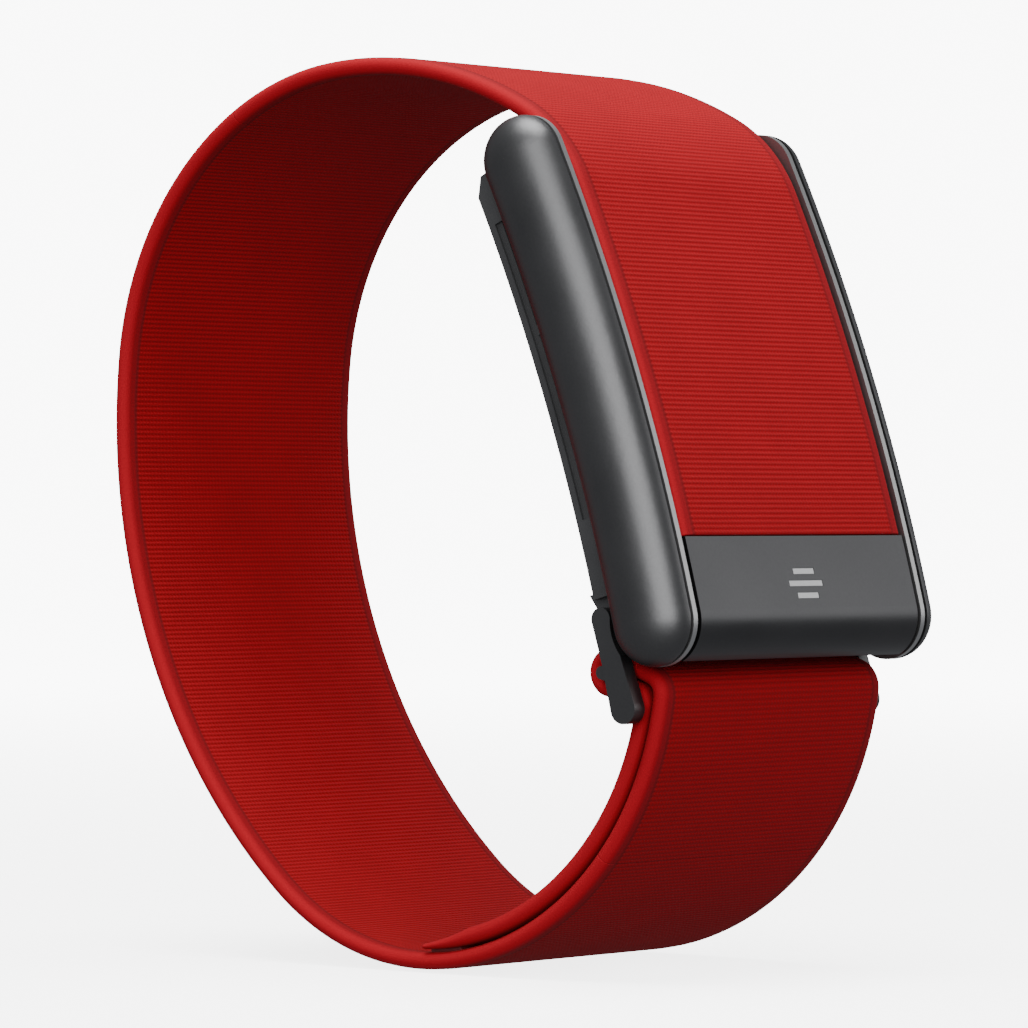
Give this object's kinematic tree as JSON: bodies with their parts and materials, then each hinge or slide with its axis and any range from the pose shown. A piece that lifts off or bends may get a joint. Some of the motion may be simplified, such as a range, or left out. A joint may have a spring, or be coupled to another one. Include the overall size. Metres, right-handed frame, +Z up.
{
  "type": "wrist activity tracker",
  "caption": "Screenless wrist activity tracker: a bent sensor pod with a hinged lid clasp, a swinging link, and a ribbed knit band that loops round the wrist.",
  "frame": {"origin": "middle of the wrist opening", "axes": "+X along the wrist, the pod on the -Y side, +Z up with the band standing on edge of its loop as worn, pod leaning back by 20 degrees"},
  "size_m": [0.0316, 0.0543, 0.0639],
  "materials": {
    "red_knit": "ribbed elastic knit",
    "gunmetal": "satin dark anodised",
    "bright_edge": "satin with polished edge",
    "black_polymer": "fine matte",
    "black_rubber": "matte",
    "steel": "brushed",
    "dark_window": "polished",
    "board_green": "solder mask",
    "chip": "moulded package",
    "led": "clear resin",
    "cell_wrap": "foil pouch",
    "gold_contact": "plated",
    "foam": "foam",
    "bond_film": "adhesive film"
  },
  "bodies": {
    "pod_and_band": {"chassis": "bright_edge", "side_cover_left": "gunmetal", "side_cover_right": "gunmetal", "side_gasket_left": "black_rubber", "side_gasket_right": "black_rubber", "back_housing": "black_polymer", "slide_rail_left": "steel", "slide_rail_right": "steel", "optical_window": "dark_window", "window_gasket": "black_rubber", "light_barrier": "black_polymer", "led_emitters": "led", "photodiodes": "chip", "sensor_board": "board_green", "main_board": "board_green", "board_connector": "chip", "rf_shield": "steel", "battery": "cell_wrap", "antenna": "gold_contact", "haptic_can": "steel", "haptic_pad": "foam", "charge_contacts": "gold_contact", "housing_gasket": "black_rubber", "housing_screws": "steel", "latch_spring": "steel", "lid_hinge_pin": "steel", "band_top_flex": "red_knit", "band_main": "red_knit", "band_lower_flex": "red_knit", "band_tail": "red_knit", "tail_bond": "bond_film"},
    "clasp_lid": {"lid_carrier": "gunmetal", "metal_plate": "gunmetal", "plate_mark": "steel", "fabric_clamp_strip": "steel", "clamp_screws": "steel", "band_lid_section": "red_knit"},
    "band_link": {"link_frame": "gunmetal", "link_pin": "steel", "band_fold": "red_knit"},
    "haptic_rotor": {"haptic_shaft": "steel", "haptic_weight": "steel"}
  },
  "joints": [
    {"name": "lid_hinge", "type": "hinge", "parent": "pod_and_band", "child": "clasp_lid", "pos_m": [0, -0.01856, 0.02397], "axis": [-1, 0, 0], "range_deg": [0, 95], "deforming": ["band_top_flex"]},
    {"name": "link_hinge", "type": "hinge", "parent": "pod_and_band", "child": "band_link", "pos_m": [0, -0.02607, -0.00711], "axis": [-1, 0, 0], "range_deg": [-20, 3], "deforming": ["band_lower_flex"]},
    {"name": "haptic_spin", "type": "hinge", "parent": "pod_and_band", "child": "haptic_rotor", "pos_m": [0, -0.02681, -0.0017], "axis": [1, 0, 0], "continuous": true}
  ]
}
